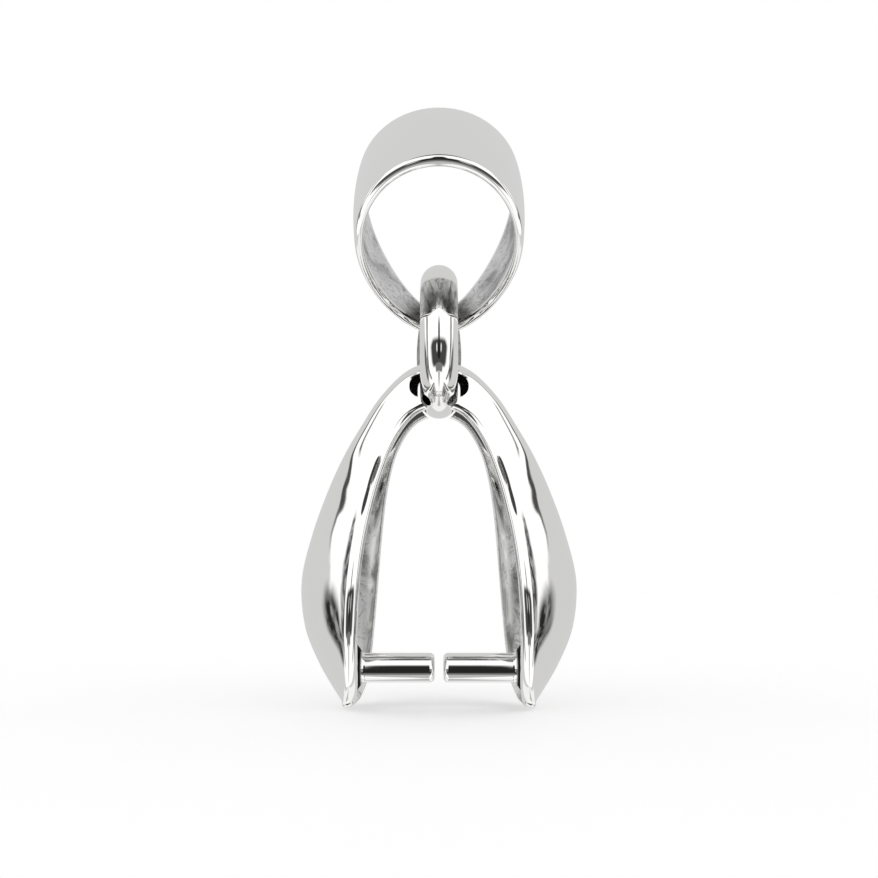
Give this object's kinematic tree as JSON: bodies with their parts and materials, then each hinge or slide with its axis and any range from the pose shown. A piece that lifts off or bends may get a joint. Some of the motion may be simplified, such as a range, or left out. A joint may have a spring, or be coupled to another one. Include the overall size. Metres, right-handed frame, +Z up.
{
  "type": "pinch bail finding",
  "caption": "Polished silver pinch bail: an oval tapered chain loop, a jump ring and a sprung leaf clip with inward pegs that hold a drilled stone.",
  "frame": {"origin": "where the chain seats, on the inside of the loop at the middle of its top", "axes": "+X across the bail to the right, +Y from the front to the back, +Z up, with the clip hanging toward -Z"},
  "size_m": [0.0058, 0.0064, 0.0132],
  "materials": {
    "loop_silver": "polished silver, cloudy inside",
    "ring_silver": "polished silver",
    "clip_silver": "polished silver, cloudy inside"
  },
  "bodies": {
    "loop": {"bail_loop": "loop_silver"},
    "ring": {"jump_ring": "ring_silver"},
    "clip": {"pinch_clip": "clip_silver"}
  },
  "joints": [
    {"name": "ring_swing", "type": "hinge", "parent": "loop", "child": "ring", "pos_m": [0, 0.00256, -0.0037], "axis": [1, 0, 0], "range_deg": [-60, 100]},
    {"name": "clip_rock", "type": "hinge", "parent": "ring", "child": "clip", "pos_m": [0, 0.00256, -0.00501], "axis": [0, 1, 0], "range_deg": [-25, 25]}
  ]
}
